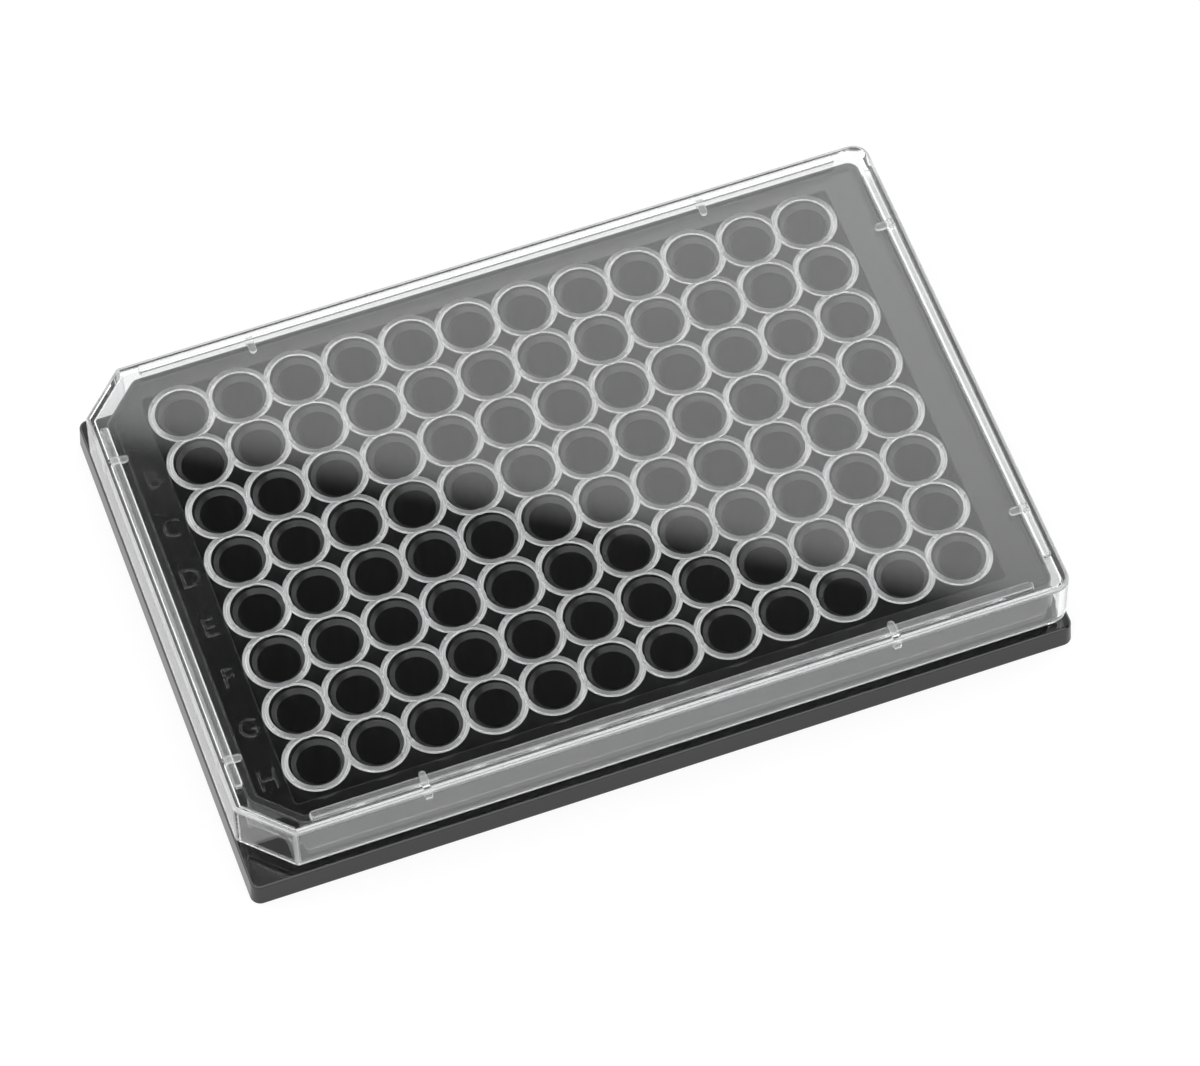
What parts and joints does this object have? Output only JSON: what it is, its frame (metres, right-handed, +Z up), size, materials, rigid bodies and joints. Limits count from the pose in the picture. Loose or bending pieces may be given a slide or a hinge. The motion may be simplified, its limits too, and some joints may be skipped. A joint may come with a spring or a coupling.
{
  "type": "well plate with lid",
  "caption": "Black plastic plate of small round wells in a grid, with a wide flange and a clear lid resting on it.",
  "frame": {"origin": "middle of the plate's footprint, on the surface that the plate stands on", "axes": "+X along the plate's length, from column 1 to column 12; +Y from row H at the front to row A at the back; +Z up, out of the wells"},
  "size_m": [0.1278, 0.0854, 0.0169],
  "materials": {
    "plate": "black moulded polystyrene, satin on the deck and glossier on its margins",
    "lid": "clear moulded polystyrene, polished"
  },
  "bodies": {
    "root": {"plate": "plate", "lid": "lid"}
  },
  "joints": []
}
